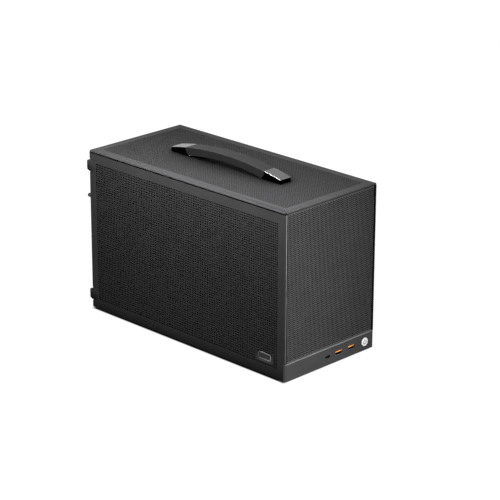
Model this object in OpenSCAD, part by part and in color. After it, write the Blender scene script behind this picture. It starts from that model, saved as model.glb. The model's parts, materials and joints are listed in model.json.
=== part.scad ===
// Mini-ITX computer case: perforated sheet panels on a folded chassis, with a strap handle on top.
// +X is the right side seen from the front, the front faces -Y and +Z is up.
// The origin is on the floor, under the middle of the whole case.

/* [Body] */
// Width over the side panels
body_w = 166; // [160:1:190]
// Depth from the front bar's face to the rear face
body_d = 360; // [350:1:420]
// Height from the front bar's underside to the top face
body_h = 223; // [221:1:250]
// Height of the front bar's underside above the floor
floor_gap = 3; // [2:0.5:8]

/* [Sheet metal] */
// Thickness of the outer panels
panel_t = 1.5; // [1:0.1:1.6]
// Inner radius of the outer panels' bends
panel_bend_in = 0.7; // [0.4:0.1:1.2]
// Thickness of the chassis sheets
frame_t = 1.2; // [1:0.1:1.6]
// Inner radius of the chassis bends
frame_bend_in = 0.8; // [0.5:0.1:1.8]
// Width of the flanges that join the chassis sheets
frame_flange = 14; // [12:1:16]
// Gap between the chassis and the side panels
side_gap = 1; // [0.6:0.1:1.6]
// Gap between a side panel's rear flange and the rear panel
rear_gap = 0.3; // [0.2:0.1:0.6]
// Gap round the front mesh and over the side panels
panel_gap = 0.7; // [0.5:0.1:1.2]

/* [Perforation] */
// Solid border round the side and top panels' holes
perf_border = 13; // [11:0.5:20]
// Solid border round the front mesh's holes
mesh_border = 3; // [2.5:0.5:8]
// Largest distance between the middles of neighbouring holes
perf_pitch = 20.5; // [18:0.1:40]
// Share of the pitch that a hole takes
hole_share = 0.54; // [0.4:0.02:0.7]

/* [Side panels] */
// Width of a side panel's front flange
side_front_flange = 3; // [2.8:0.1:5]
// Width of a side panel's rear flange
side_rear_flange = 11; // [10:0.5:14]
// Height of a side panel's lower edge above the front bar's underside
side_lift = 1.4; // [1:0.1:4]
// Width of a pull tab where it leaves the panel
tab_w = 16; // [12:1:24]
// Reach of a pull tab behind the rear face
tab_reach = 4; // [3:0.5:6]
// Distance from a pull tab's middle to the panel's upper or lower end
tab_inset = 18.5; // [14:0.5:40]
// Width of the relief notch on each side of a pull tab
tab_notch = 2; // [1.5:0.5:4]
// Distance of the thumbscrews in from the outer faces
screw_inset = 6.5; // [6:0.5:8]
// Height of the thumbscrews above the front bar's underside
screw_h = 157; // [120:1:170]
// Length of a thumbscrew's head
screw_head_l = 9; // [6:0.5:12]
// Radius of a thumbscrew's head
screw_head_r = 2.75; // [2.5:0.05:3.5]

/* [Top panel] */
// Height of the folded lip round the top panel
top_lip = 2; // [2:0.1:4]
// Inner radius of the lip's bends
lip_bend_in = 0.3; // [0.2:0.1:0.8]

/* [Front mesh] */
// Thickness of the front mesh
mesh_t = 1; // [0.8:0.1:1.2]
// Depth of the mesh's face behind the bar's face
mesh_recess = 1; // [0.5:0.1:2]
// Inner radius of the mesh's bends
mesh_bend_in = 0.4; // [0.3:0.1:1]

/* [Front bar] */
// Height of the front bar
bar_h = 23.2; // [22:0.2:30]
// Depth of the front bar and of the bay behind the mesh
bar_d = 10; // [9:0.5:14]
// Radius of the bar's upright corners
bar_corner = 3; // [2.8:0.1:7]
// Wall thickness of the bar
bar_wall = 2.4; // [2:0.1:2.6]
// Distance of the USB-C port from the case's right side
usb_c_in = 87.2; // [84:0.2:100]
// Distances of the two USB-A ports from the case's right side
usb_a_in = [66.1, 42];
// Distance of the power button from the case's right side
button_in = 17.3; // [16:0.1:22]
// Radius of the power button
button_r = 5.6; // [4.5:0.1:6]
// Travel of the power button
button_travel = 0.8; // [0.4:0.1:1]
// How far the power button stands out of the bar
button_proud = 0.5; // [0.3:0.1:1]

/* [Handle] */
// Length of the handle over its end caps
handle_l = 199; // [180:1:220]
// Width of the handle's grip
handle_w = 20; // [16:0.5:26]
// Height of the handle's middle above the top face
handle_rise = 17; // [15:0.5:30]
// Gap under the middle of the grip
handle_gap = 7.4; // [6:0.2:9]
// Height of an end cap at its outer end
cap_end_h = 6; // [5:0.5:8]
// Half the length of the grip
grip_half = 71; // [60:1:74]
// Distance of a handle screw from the handle's middle
handle_screw_y = 85; // [82:0.5:88]

/* [Inside] */
// Distance of the motherboard tray in from the right side's outer face
tray_inset = 16.4; // [15.6:0.2:18]
// Height of the motherboard's lower edge above the front bar's underside
board_h = 48; // [47:0.5:50]
// Length of the motherboard standoffs
standoff_l = 6.5; // [5:0.5:8]
// Distance of the power supply bracket behind the front face
psu_bracket_y = 60; // [50:1:70]
// Height of the rear fan's middle above the front bar's underside
rear_fan_h = 160; // [150:1:168]
// Height of the power inlet's middle above the front bar's underside
inlet_h = 88; // [78:1:92]

/* [Hidden] */

$fn = 48;
eps = 0.01;

// Outer limits of the case
half_w = body_w / 2;
rear_reach = rear_gap + screw_head_l;
front_y = -(body_d + rear_reach + button_proud) / 2 + button_proud;
rear_y = front_y + body_d;
top_z = floor_gap + body_h;

// Places measured from the right side, the front face and the front bar's underside
function from_right(x) = half_w - x;
function from_front(y) = front_y + y;
function from_bottom(z) = floor_gap + z;

// Outer radii of the bends
panel_bend = panel_t + panel_bend_in;
frame_bend = frame_t + frame_bend_in;
lip_bend = panel_t + lip_bend_in;
mesh_bend = mesh_t + mesh_bend_in;

// Side panels
side_in = half_w - panel_t;
side_z0 = from_bottom(side_lift);
side_z1 = top_z - top_lip - panel_gap;
bar_top_z = from_bottom(bar_h);
bar_foot_h = side_lift - 0.4;
bar_side_inset = panel_t + 0.4;
bar_boss_x = half_w - 7;
bar_boss_z = from_bottom(bar_h - 5.6);
bar_boss_r = 2.6;
tab_z = [side_z0 + tab_inset, side_z1 - tab_inset];
screw_x = half_w - screw_inset;
screw_z = from_bottom(screw_h);
screw_shank_r = 1.5;
thread_clearance = 0.05;
slot_clearance = 0.4;

// Chassis planes
chassis_half = side_in - side_gap;
flange_half = chassis_half - frame_bend;
base_z = side_z0;
base_top = base_z + frame_t;
frame_top = top_z - panel_t;
frame_under = frame_top - frame_t;
wall_front_y = from_front(bar_d);
wall_rear_y = rear_y - panel_t - rear_gap;
wall_front_in = wall_front_y + frame_t;
wall_rear_in = wall_rear_y - frame_t;
rail_h = frame_flange + frame_t;

// Motherboard, to the standard board's size and holes
board_size = 170;
board_t = 1.6;
tray_x = half_w - tray_inset;
tray_face_x = tray_x - frame_t;
board_back_x = tray_face_x - standoff_l;
board_face_x = board_back_x - board_t;
board_z = from_bottom(board_h);
board_rear_y = wall_rear_in - 1;
board_low_row = 6.35;
board_high_row = board_size - 6.17;
board_far_hole = board_size - 4.9;
board_low_hole = 10.16;
board_high_hole = 33.02;
board_holes = [[board_low_hole, board_low_row], [board_far_hole, board_low_row],
               [board_high_hole, board_high_row], [board_far_hole, board_high_row]];
cooler_window = [90, 86];
cable_window = [30, 14];
cable_window_pitch = 52;
standoff_r = 2.9;
standoff_bore_r = 1.25;

// Connector opening of the rear panel, to the standard size
io_l = 158.75;
io_w = 44.45;
io_edge = 5.2;
io_x1 = board_face_x + 3.8;
io_x0 = io_x1 - io_w;

// Expansion slots, at the standard pitch
slot_pitch = 20.32;
slot_1_drop = 6;
slot_open_w = 13;
slot_rise = 4;
slot_open_l = 100;
slot_x1 = board_face_x - slot_rise;
slot_x0 = slot_x1 - slot_open_l;
slot_vent = [12, 4];
slot_vent_pitch = 19;
slot_cover_w = 18.4;
slot_cover_t = 0.9;
slot_ledge_x = slot_x0 - 6;
slot_ledge_reach = 8.6;
slot_end_x = board_face_x + slot_rise;
slot_screw_r = 1.6;
slot_screw_y = wall_rear_y + slot_ledge_reach - 4;
function slot_z(i) = board_z - slot_1_drop - i * slot_pitch;

// Power inlet
inlet_flange = [50, 24, 2.5];
inlet_body = [27, 19.6, 22];
inlet_mouth = [24.2, 16.4, 17];
inlet_chamfer = 4;
inlet_screw_pitch = 40;
inlet_x = -screw_x + 46.5;
inlet_z = from_bottom(inlet_h);

// Fans and power supply, to the standard hole patterns
rear_fan = 80;
rear_fan_pitch = 71.5;
rear_fan_x = io_x0 - 4.5 - rear_fan / 2;
rear_fan_z = from_bottom(rear_fan_h);
fan_hole_r = 2.2;
front_fan_pitch = 105;
front_fan_r = 58;
front_fan_z = (bar_top_z + top_z) / 2;
psu_holes = [51.5, 113];
psu_face = [63.5, 125];
psu_hole_r = 1.9;
psu_x = tray_face_x - psu_face[0] / 2 - 1;
psu_z = frame_under - 12 - psu_face[1] / 2;
psu_y = from_front(psu_bracket_y);

// Ports
usb_c_x = from_right(usb_c_in);
usb_a_x = [from_right(usb_a_in[0]), from_right(usb_a_in[1])];
button_x = from_right(button_in);
port_z = from_bottom(bar_h / 2);
usb_a_size = [13.2, 5.8];
usb_a_mouth = [12.5, 5.1];
usb_a_l = 14;
usb_c_size = [8.94, 3.26];
usb_c_wall = 0.3;
usb_c_l = 9.5;
port_recess = 0.4;
port_clearance = 0.15;
board_top_z = port_z - usb_a_size[1] / 2;
button_hole_r = button_r + 0.2;
button_flange_r = button_r + 1.2;
button_flange_t = 1;
switch_y = from_front(12.5);
switch_nub = 1.6;
switch_side = 6;
switch_d = 3.6;
io_board_t = 1.6;
io_board_z = board_top_z - io_board_t;
spacer_z = base_top + frame_t;
io_board_y0 = from_front(bar_wall + button_flange_t + button_travel + 0.4);
io_board_back = 24;
io_board_y1 = from_front(io_board_back);
io_board_x0 = usb_c_x - 9;
io_board_x1 = button_x + 7.5;
spacer_x = [usb_c_x + 10, button_x - 12];
spacer_inset = 4.5;
spacer_y = io_board_y1 - spacer_inset;
spacer_r = 2.8;
m3_r = 1.5;
m3_hole_r = 1.7;
m3_head_r = 2.75;
m3_head_h = 1.8;

// Ball studs and clips of the removable panels
ball_r = 2.3;
ball_neck_r = 1.3;
ball_depth = 2.4;
stud_base_r = 3.5;
stud_base_t = 0.6;
clip_r = 3.6;
clip_bore_r = 2.5;
clip_collar_r = 5;
clip_collar_t = 1;
clip_l = 5.5;
clip_hole_r = clip_r + 0.1;
stud_end_inset = 45;
stud_low_z = base_z + frame_t + frame_flange / 2 + 1;
stud_high_z = frame_top - frame_t - frame_flange / 2 - 1;
side_stud_y = [from_front(stud_end_inset), rear_y - stud_end_inset];
mesh_stud_inset = 9;

// Front mesh
mesh_half = half_w - side_front_flange - panel_gap;
mesh_z0 = bar_top_z + panel_gap;
mesh_z1 = top_z - top_lip - panel_gap;
mesh_y = from_front(mesh_recess);
mesh_end_y = wall_front_y - 0.4;
mesh_stud_x = [-(mesh_half - mesh_stud_inset), mesh_half - mesh_stud_inset];
mesh_stud_z = [mesh_z0 + mesh_stud_inset, mesh_z1 - mesh_stud_inset];

// Badge plate in its recess on the left panel
badge_size = [22, 9];
badge_at = [from_front(35), from_bottom(25.8)];
badge_t = 0.7;
badge_corner = 3;

// Handle
handle_y = from_front(body_d / 2);
cap_w = handle_w - 0.8;
cap_inner = grip_half - 9;
cap_chamfer = 0.5;
grip_corner = 8;
grip_clearance = 0.05;
handle_screw_r = 2;
handle_screw_grip = 6;
handle_screw_head_r = 4;
handle_screw_head_h = 2.4;
top_arc_r = arc_radius(handle_l / 2, handle_rise - cap_end_h);
low_arc_r = arc_radius(grip_half, handle_gap);
crossbar_w = 24;
window_corner = 5;

// Feet
foot_r = 8;
foot_inset = 22;
foot_chamfer = 0.8;
foot_plug_r = 3;
foot_plug_head = 4;

// Rivets
rivet_r = 1.6;
rivet_head_r = 3;
rivet_head_h = 1;
rivet_x = [-55, 0, 48];
rivet_y_inset = frame_flange - 4.5;
tray_rivet_y = [board_rear_y - 30, board_rear_y - board_size + 22];
tray_front_y = board_rear_y - board_size - 4;
tray_rivet_x = tray_face_x + frame_flange - 5.5;

// Radius of the arc that rises by rise over half a chord
function arc_radius(half_chord, rise) = (half_chord * half_chord + rise * rise) / (2 * rise);

// Number of whole steps of at most pitch in a length
function steps(length, pitch) = ceil(length / pitch);

// Plate in the YZ plane that grows towards +X, from a 2-D outline of Y and Z
module yz_plate(t) {
  rotate([90, 0, 90]) linear_extrude(t) children();
}

// Plate in the XZ plane that grows towards +Y, from a 2-D outline of X and Z
module xz_plate(t) {
  translate([0, t, 0]) rotate([90, 0, 0]) linear_extrude(t) children();
}

// Cylinder along +X, +Y or +Z from a point
module rod(axis, at, r, l) {
  turn = axis == "x" ? [0, 90, 0] : axis == "y" ? [-90, 0, 0] : [0, 0, 0];
  translate(at) rotate(turn) cylinder(r = r, h = l);
}

// Centred rectangle with round corners
module round_rect(w, h, r) {
  square([w - 2 * r, h], center = true);
  square([w, h - 2 * r], center = true);
  for (sx = [-1, 1], sy = [-1, 1]) translate([sx * (w / 2 - r), sy * (h / 2 - r)]) circle(r);
}

// Rectangle from two corner points
module box_2d(from, to) {
  translate(from) square(to - from);
}

// Section of a sheet bent by 90 degrees: one leg along +X, one along +Y, outer corner at the origin
module bend_2d(leg_x, leg_y, t, r) {
  intersection() {
    translate([r, r]) difference() {
      circle(r);
      circle(r - t);
    }
    square(r);
  }
  if (leg_x > r) translate([r, 0]) square([leg_x - r, t]);
  if (leg_y > r) translate([0, r]) square([t, leg_y - r]);
}

// Square holes on an even grid that fills a rectangle, apart from where keep_off says
module square_holes(from, to, skip = []) {
  nx = steps(to[0] - from[0], perf_pitch);
  ny = steps(to[1] - from[1], perf_pitch);
  px = (to[0] - from[0]) / nx;
  py = (to[1] - from[1]) / ny;
  side = hole_share * min(px, py);
  for (i = [0 : nx - 1], j = [0 : ny - 1]) {
    at = from + [(i + 0.5) * px, (j + 0.5) * py];
    if (clear_of(at, side / 2, skip)) translate(at) square(side, center = true);
  }
}

// True where a hole stays off every rectangle of a list, each given by its middle and size
function clear_of(at, half, skip) =
  len([for (s = skip) if (abs(at[0] - s[0][0]) < half + s[1][0] / 2 &&
                          abs(at[1] - s[0][1]) < half + s[1][1] / 2) 1]) == 0;

// Six-sided holes in columns, every second column moved by half a pitch
module staggered_holes(from, to, skip = []) {
  nx = steps(to[0] - from[0], perf_pitch * 0.91);
  ny = steps(to[1] - from[1], perf_pitch);
  px = (to[0] - from[0]) / nx;
  py = (to[1] - from[1]) / ny;
  r = hole_share * min(px, py) / 2 * 1.12;
  for (i = [0 : nx - 1]) {
    odd = i % 2;
    for (j = [0 : ny - 1 - odd]) {
      at = from + [(i + 0.5) * px, (j + 0.5 + odd / 2) * py];
      if (clear_of(at, r, skip)) translate(at) circle(r, $fn = 6);
    }
  }
}

// Rail along +Y, bent up from a sheet whose edge is at the origin
module rail(l) {
  xz_plate(l) bend_2d(frame_bend + eps, rail_h, frame_t, frame_bend);
}

// Base pan: floor sheet with two raised rails and rows of vents
module base_pan() {
  vent_n = 14;
  vent_span = [from_front(70), rear_y - 60];
  vent_pitch = (vent_span[1] - vent_span[0]) / vent_n;
  color([0.16, 0.16, 0.17]) difference() {
    union() {
      translate([0, 0, base_z]) linear_extrude(frame_t) difference() {
        box_2d([-flange_half, wall_front_y], [flange_half, wall_rear_y]);
        for (i = [0 : vent_n - 1], s = [-1, 1])
          translate([s * chassis_half * 0.44, vent_span[0] + (i + 0.5) * vent_pitch])
            square([chassis_half * 0.6, vent_pitch * 0.45], center = true);
      }
      for (s = [0, 1]) mirror([s, 0, 0]) translate([-chassis_half, wall_front_in, base_z])
        rail(wall_rear_in - wall_front_in);
    }
    side_clip_holes(stud_low_z);
    base_rivet_places() rod("z", [0, 0, -1], rivet_r, frame_t + 2);
    foot_places() rod("z", [0, 0, -1], foot_plug_r, frame_t + 2);
  }
}

// Holes for the clips of both side panels, at one height
module side_clip_holes(z) {
  for (y = side_stud_y, s = [-1, 1])
    rod("x", [s * chassis_half - frame_t * 1.5, y, z], clip_hole_r, 3 * frame_t);
}

// Wall between the base pan and the top frame, with a flange at each end that points along dir
module end_wall(y, dir) {
  z0 = base_top;
  z1 = frame_under;
  h = z1 - z0;
  shift = dir > 0 ? y : y + frame_t;
  translate([0, y, 0]) xz_plate(frame_t) difference() {
    box_2d([-chassis_half, z0 + frame_bend], [chassis_half, z1 - frame_bend]);
    children();
  }
  for (up = [0, 1])
    translate([-flange_half, shift, up == 1 ? z1 : z0]) mirror([0, 0, up]) mirror([0, dir < 0 ? 1 : 0, 0])
      yz_plate(2 * flange_half) bend_2d(frame_flange, frame_bend + eps, frame_t, frame_bend);
}

// Front frame: carries the front mesh, the bar and a 120 mm fan
module front_frame() {
  margin = 2;
  window_z = [io_board_z - 1, port_z + usb_a_size[1] / 2 + margin];
  color([0.14, 0.14, 0.15]) difference() {
    end_wall(wall_front_y, 1) {
      translate([0, front_fan_z]) circle(front_fan_r, $fn = 96);
      for (sx = [-1, 1], sz = [-1, 1])
        translate([sx * front_fan_pitch / 2, front_fan_z + sz * front_fan_pitch / 2]) circle(fan_hole_r);
      for (x = mesh_stud_x, z = mesh_stud_z) translate([x, z]) circle(clip_hole_r);
      box_2d([io_board_x0 - margin, window_z[0]], [io_board_x1 + margin, window_z[1]]);
      for (s = [-1, 1]) translate([s * bar_boss_x, bar_boss_z]) circle(m3_hole_r);
    }
    base_rivet_places() rod("z", [0, 0, -1], rivet_r, 2 * frame_t + 2);
    top_rivet_places() rod("z", [0, 0, -1], rivet_r, 2 * frame_t + 2);
  }
}

// Rear panel: connector opening, slots with their ledge, fan vent and power inlet opening
module rear_panel() {
  color([0.16, 0.16, 0.17]) difference() {
    union() {
      end_wall(wall_rear_in, -1) {
        box_2d([io_x0, board_z + io_edge], [io_x1, board_z + io_edge + io_l]);
        for (i = [0, 1]) translate([(slot_x0 + slot_x1) / 2, slot_z(i)])
          square([slot_x1 - slot_x0, slot_open_w], center = true);
        box_2d([slot_ledge_x - slot_ledge_reach - frame_t, slot_z(1) - slot_cover_w / 2 - 0.4],
               [slot_ledge_x, slot_z(0) + slot_cover_w / 2 + 0.4]);
        translate([rear_fan_x, rear_fan_z]) fan_vent();
        translate([inlet_x, inlet_z]) square([inlet_body[0] + 0.4, inlet_body[1] + 0.4], center = true);
        for (s = [-1, 1]) translate([inlet_x + s * inlet_screw_pitch / 2, inlet_z]) circle(m3_hole_r);
        for (s = [-1, 1]) translate([s * screw_x, screw_z]) circle(screw_shank_r + thread_clearance);
      }
      slot_ledge();
    }
    base_rivet_places() rod("z", [0, 0, -1], rivet_r, 2 * frame_t + 2);
    top_rivet_places() rod("z", [0, 0, -1], rivet_r, 2 * frame_t + 2);
  }
}

// Flap bent out of the rear panel, which the expansion cards' brackets are screwed to
module slot_ledge() {
  z0 = slot_z(1) - slot_cover_w / 2;
  difference() {
    translate([slot_ledge_x, wall_rear_in, z0])
      cube([frame_t, frame_t + slot_ledge_reach, slot_z(0) - slot_z(1) + slot_cover_w]);
    for (i = [0, 1])
      rod("x", [slot_ledge_x - 1, slot_screw_y, slot_z(i)], slot_screw_r + thread_clearance, frame_t + 2);
  }
}

// Round fan opening filled with upright bars, and the fan's four screw holes
module fan_vent() {
  vent_r = rear_fan / 2 - 4;
  bars = 9;
  pitch = 2 * vent_r / bars;
  intersection() {
    circle(vent_r, $fn = 96);
    for (i = [0 : bars - 1])
      translate([-vent_r + (i + 0.5) * pitch, 0]) square([pitch * 0.62, 2 * vent_r], center = true);
  }
  for (sx = [-1, 1], sy = [-1, 1])
    translate([sx * rear_fan_pitch / 2, sy * rear_fan_pitch / 2]) circle(fan_hole_r);
}

// Top frame: sheet with two hanging rails, and crossbars for the handle and the power supply
module top_frame() {
  bars = [psu_y + frame_flange / 2, handle_y - handle_screw_y, handle_y + handle_screw_y];
  edge = 13;
  starts = concat([wall_front_y + frame_flange + 2], [for (b = bars) b + crossbar_w / 2]);
  ends = concat([for (b = bars) b - crossbar_w / 2], [wall_rear_y - frame_flange - 2]);
  x0 = -chassis_half + edge;
  x1 = tray_face_x - 3;
  color([0.14, 0.14, 0.15]) difference() {
    union() {
      translate([0, 0, frame_under]) linear_extrude(frame_t) difference() {
        box_2d([-flange_half, wall_front_y], [flange_half, wall_rear_y]);
        for (i = [0 : len(starts) - 1]) if (ends[i] - starts[i] > 2 * window_corner)
          translate([(x0 + x1) / 2, (starts[i] + ends[i]) / 2])
            round_rect(x1 - x0, ends[i] - starts[i], window_corner);
      }
      for (s = [0, 1]) mirror([s, 0, 0]) translate([-chassis_half, wall_front_in, frame_top])
        mirror([0, 0, 1]) rail(wall_rear_in - wall_front_in);
    }
    side_clip_holes(stud_high_z);
    top_rivet_places() rod("z", [0, 0, -1], rivet_r, 2 * frame_t + 2);
    for (s = [-1, 1])
      rod("z", [0, handle_y + s * handle_screw_y, frame_under - 1], handle_screw_r + 0.2, frame_t + 2);
  }
}

// Motherboard tray: upright sheet with a flange at each end and a cut-out behind the cooler
module motherboard_tray() {
  l = wall_rear_in - tray_front_y;
  cooler = [board_rear_y - board_size / 2 - 10, board_z + board_size - 55];
  color([0.16, 0.16, 0.17]) difference() {
    union() {
      translate([tray_face_x, 0, 0]) yz_plate(frame_t) difference() {
        box_2d([tray_front_y, base_top + frame_bend], [wall_rear_in - 0.2, frame_under - frame_bend]);
        translate(cooler) round_rect(cooler_window[0], cooler_window[1], window_corner);
        for (k = [-1 : 1]) translate([cooler[0] + k * cable_window_pitch, board_z - 16])
          round_rect(cable_window[0], cable_window[1], window_corner);
        for (h = board_holes) translate([board_rear_y - h[0], board_z + h[1]]) circle(m3_hole_r);
      }
      for (up = [0, 1])
        translate([tray_face_x, tray_front_y, up == 1 ? frame_under : base_top]) mirror([0, 0, up])
          xz_plate(l - frame_flange - 0.5) bend_2d(frame_flange - 3, frame_bend + eps, frame_t, frame_bend);
    }
    base_rivet_places() rod("z", [0, 0, -1], rivet_r, 2 * frame_t + 2);
    top_rivet_places() rod("z", [0, 0, -1], rivet_r, 2 * frame_t + 2);
  }
}

// Four threaded six-sided standoffs, each riveted into the tray
module motherboard_standoffs() {
  color([0.75, 0.62, 0.32]) for (h = board_holes)
    translate([tray_face_x + frame_t, board_rear_y - h[0], board_z + h[1]]) rotate([0, -90, 0]) difference() {
      union() {
        cylinder(r = m3_hole_r, h = frame_t);
        translate([0, 0, frame_t]) cylinder(r = standoff_r, h = standoff_l, $fn = 6);
      }
      translate([0, 0, frame_t / 2]) cylinder(r = standoff_bore_r, h = standoff_l + frame_t);
    }
}

// Power supply bracket: hangs from the top frame, with stiffening flanges at both sides
module psu_bracket() {
  w = psu_face[0] + 8;
  z0 = psu_z - psu_face[1] / 2 - 5;
  z1 = frame_under;
  depth = 10;
  color([0.16, 0.16, 0.17]) difference() {
    union() {
      translate([psu_x, psu_y, 0]) xz_plate(frame_t) difference() {
        box_2d([-w / 2 + frame_bend, z0], [w / 2 - frame_bend, z1 - frame_bend]);
        translate([0, psu_z]) round_rect(40, 96, window_corner);
        for (sx = [-1, 1], sz = [-1, 1])
          translate([sx * psu_holes[0] / 2, psu_z + sz * psu_holes[1] / 2]) circle(psu_hole_r);
      }
      for (s = [0, 1]) translate([psu_x, 0, z0]) mirror([s, 0, 0])
        translate([-w / 2, psu_y + frame_t, 0]) mirror([0, 1, 0])
          linear_extrude(z1 - frame_bend - 2 - z0) bend_2d(frame_bend + eps, depth, frame_t, frame_bend);
      translate([psu_x - w / 2 + frame_bend, psu_y, z1]) mirror([0, 0, 1])
        yz_plate(w - 2 * frame_bend) bend_2d(frame_flange, frame_bend + eps, frame_t, frame_bend);
    }
    top_rivet_places() rod("z", [0, 0, -1], rivet_r, 2 * frame_t + 2);
  }
}

// Cover of one expansion slot: a plate inside the rear panel with a tab bent out over the ledge
module slot_cover(i) {
  z = slot_z(i);
  h = slot_cover_w - 0.4;
  tab_l = slot_cover_t + frame_t + slot_ledge_reach;
  plate_y = wall_rear_in - slot_cover_t;
  color([0.2, 0.2, 0.21]) difference() {
    union() {
      translate([0, plate_y, 0]) xz_plate(slot_cover_t) difference() {
        box_2d([slot_ledge_x - slot_cover_t, z - h / 2], [slot_end_x, z + h / 2]);
        for (k = [-2 : 2]) translate([(slot_x0 + slot_x1) / 2 + k * slot_vent_pitch, z])
          square(slot_vent, center = true);
      }
      translate([slot_ledge_x - slot_cover_t, plate_y, z - h / 2]) cube([slot_cover_t, tab_l, h]);
    }
    rod("x", [slot_ledge_x - slot_cover_t - 1, slot_screw_y, z], slot_screw_r + 0.3, slot_cover_t + 1.5);
  }
}

module slot_cover_1() slot_cover(0);
module slot_cover_2() slot_cover(1);

// Screws of the two slot covers
module slot_screws() {
  color([0.5, 0.5, 0.52]) for (i = [0, 1])
    translate([slot_ledge_x - slot_cover_t, slot_screw_y, slot_z(i)]) rotate([0, 90, 0]) union() {
      cylinder(r = slot_screw_r, h = slot_cover_t + frame_t + 2);
      translate([0, 0, -2]) cylinder(r = 3.2, h = 2);
    }
}

// Outline of a power inlet's recess, with two cut corners
module inlet_outline(w, h, c) {
  polygon([[-w / 2, -h / 2], [w / 2, -h / 2], [w / 2, h / 2 - c], [w / 2 - c, h / 2],
           [-w / 2 + c, h / 2], [-w / 2, h / 2 - c]]);
}

// Panel-mounted power inlet with its flange on the outside
module ac_inlet() {
  color([0.08, 0.08, 0.08]) translate([inlet_x, wall_rear_y, inlet_z]) difference() {
    union() {
      xz_plate(inlet_flange[2]) round_rect(inlet_flange[0], inlet_flange[1], 3);
      translate([0, inlet_flange[2] - inlet_body[2] - eps, 0]) xz_plate(inlet_body[2])
        square([inlet_body[0], inlet_body[1]], center = true);
    }
    translate([0, inlet_flange[2] - inlet_mouth[2], 0]) xz_plate(inlet_mouth[2] + 1)
      inlet_outline(inlet_mouth[0], inlet_mouth[1], inlet_chamfer);
    for (s = [-1, 1]) rod("y", [s * inlet_screw_pitch / 2, -1, 0], m3_hole_r, inlet_flange[2] + 2);
  }
}

// Three contact blades that stand on the recess's floor
module ac_blades() {
  floor_y = wall_rear_y + inlet_flange[2] - inlet_mouth[2];
  color([0.78, 0.78, 0.8]) for (p = [[-7, -2], [0, 2], [7, -2]])
    translate([inlet_x + p[0] - 1, floor_y, inlet_z + p[1] - 2]) cube([2, 11.5, 4]);
}

// Screws through the inlet's flange and the rear panel
module ac_inlet_screws() {
  color([0.5, 0.5, 0.52]) for (s = [-1, 1])
    translate([inlet_x + s * inlet_screw_pitch / 2, wall_rear_y + inlet_flange[2], inlet_z])
      rotate([90, 0, 0]) union() {
        cylinder(r = m3_r, h = inlet_flange[2] + frame_t + 2);
        translate([0, 0, -m3_head_h]) cylinder(r = m3_head_r, h = m3_head_h);
      }
}

// Places of the rivets that hold the walls and the tray to the base pan
module base_rivet_places() {
  for (x = rivet_x, y = [wall_front_y + rivet_y_inset, wall_rear_y - rivet_y_inset])
    translate([x, y, base_z]) children();
  for (y = tray_rivet_y) translate([tray_rivet_x, y, base_z]) children();
}

// Places of the rivets that hold the walls, the tray and the power supply bracket to the top frame
module top_rivet_places() {
  for (x = rivet_x, y = [wall_front_y + rivet_y_inset, wall_rear_y - rivet_y_inset])
    translate([x, y, frame_under - frame_t]) children();
  for (y = tray_rivet_y) translate([tray_rivet_x, y, frame_under - frame_t]) children();
  for (s = [-1, 1]) translate([psu_x + s * 22, psu_y + rivet_y_inset, frame_under - frame_t]) children();
}

// Rivets of the base, with their heads on the underside
module base_rivets() {
  color([0.3, 0.3, 0.31]) base_rivet_places() union() {
    cylinder(r = rivet_r, h = 2 * frame_t);
    translate([0, 0, -rivet_head_h]) cylinder(r = rivet_head_r, h = rivet_head_h);
  }
}

// Rivets of the top, with their heads on the inside
module top_rivets() {
  color([0.3, 0.3, 0.31]) top_rivet_places() union() {
    cylinder(r = rivet_r, h = 2 * frame_t);
    translate([0, 0, -rivet_head_h]) cylinder(r = rivet_head_r, h = rivet_head_h);
  }
}

// Plan of the front bar: round front corners, narrower by inset behind them
module bar_plan(inset) {
  difference() {
    union() {
      box_2d([-half_w + bar_corner, front_y], [half_w - bar_corner, wall_front_y]);
      box_2d([-half_w, front_y + bar_corner], [half_w, wall_front_y]);
      for (s = [-1, 1]) translate([s * (half_w - bar_corner), front_y + bar_corner]) circle(bar_corner);
    }
    if (inset > 0) for (s = [-1, 1])
      translate([s * half_w, front_y + bar_corner + bar_d / 2]) square([2 * inset, bar_d], center = true);
  }
}

// Front bar: hollow moulding, open at the back, with openings for the ports and the button
module front_bar() {
  cavity_half = half_w - bar_side_inset - bar_wall;
  color([0.2, 0.2, 0.21]) difference() {
    union() {
      difference() {
        union() {
          translate([0, 0, floor_gap]) linear_extrude(bar_foot_h) bar_plan(0);
          translate([0, 0, floor_gap + bar_foot_h]) linear_extrude(bar_h - bar_foot_h)
            bar_plan(bar_side_inset);
        }
        translate([-cavity_half, from_front(bar_wall), from_bottom(bar_wall)])
          cube([2 * cavity_half, bar_d, bar_h - 2 * bar_wall]);
      }
      for (s = [-1, 1])
        rod("y", [s * bar_boss_x, from_front(bar_wall / 2), bar_boss_z], bar_boss_r, bar_d - bar_wall / 2);
    }
    for (x = usb_a_x) translate([x, front_y - 1, port_z]) xz_plate(bar_wall + 2)
      square(usb_a_size + 2 * [port_clearance, port_clearance], center = true);
    translate([usb_c_x, front_y - 1, port_z]) xz_plate(bar_wall + 2)
      stadium(usb_c_size + 2 * [port_clearance, port_clearance]);
    rod("y", [button_x, front_y - 1, port_z], button_hole_r, bar_wall + 2);
    for (s = [-1, 1])
      rod("y", [s * bar_boss_x, wall_front_y - bar_d + 3.5, bar_boss_z], m3_r, bar_d);
  }
}

// Flat shape with round ends
module stadium(size) {
  r = size[1] / 2;
  square([size[0] - 2 * r, size[1]], center = true);
  for (s = [-1, 1]) translate([s * (size[0] / 2 - r), 0]) circle(r);
}

// Screws that hold the bar to the front frame
module front_bar_screws() {
  color([0.5, 0.5, 0.52]) for (s = [-1, 1])
    translate([s * bar_boss_x, wall_front_in, bar_boss_z]) rotate([90, 0, 0]) union() {
      cylinder(r = m3_r, h = frame_t + 5);
      translate([0, 0, -m3_head_h]) cylinder(r = m3_head_r, h = m3_head_h);
    }
}

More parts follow.
